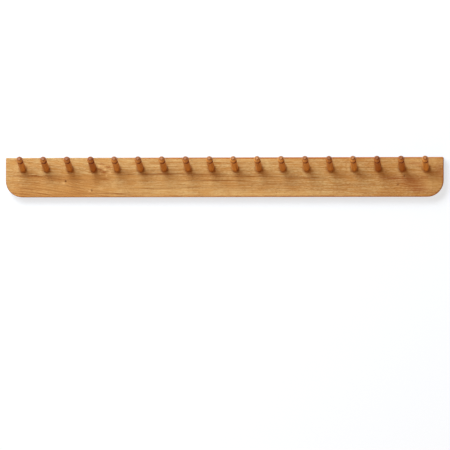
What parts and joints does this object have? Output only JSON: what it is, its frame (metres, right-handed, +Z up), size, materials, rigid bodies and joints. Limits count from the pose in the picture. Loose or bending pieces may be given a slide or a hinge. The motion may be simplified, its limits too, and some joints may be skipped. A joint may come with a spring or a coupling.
{
  "type": "peg rail",
  "caption": "Wall-hung oak rail with a row of upward-slanting turned pegs, rounded lower corners and keyhole hangers let into the back.",
  "frame": {"origin": "centre of the board's back face, which lies on the wall", "axes": "+X along the rail, to the right as seen from the room; +Y into the wall; +Z up"},
  "size_m": [1.2, 0.0918, 0.1092],
  "materials": {
    "oiled_oak_board": "oiled, satin",
    "oiled_oak_peg": "oiled, satin",
    "zinc_plated_steel": "bright zinc plate"
  },
  "bodies": {
    "root": {"rail_board": "oiled_oak_board", "peg_01": "oiled_oak_peg", "peg_02": "oiled_oak_peg", "peg_03": "oiled_oak_peg", "peg_04": "oiled_oak_peg", "peg_05": "oiled_oak_peg", "peg_06": "oiled_oak_peg", "peg_07": "oiled_oak_peg", "peg_08": "oiled_oak_peg", "peg_09": "oiled_oak_peg", "peg_10": "oiled_oak_peg", "peg_11": "oiled_oak_peg", "peg_12": "oiled_oak_peg", "peg_13": "oiled_oak_peg", "peg_14": "oiled_oak_peg", "peg_15": "oiled_oak_peg", "peg_16": "oiled_oak_peg", "peg_17": "oiled_oak_peg", "peg_18": "oiled_oak_peg", "keyhole_plate_left": "zinc_plated_steel", "keyhole_plate_right": "zinc_plated_steel", "plate_screws": "zinc_plated_steel"}
  },
  "joints": []
}
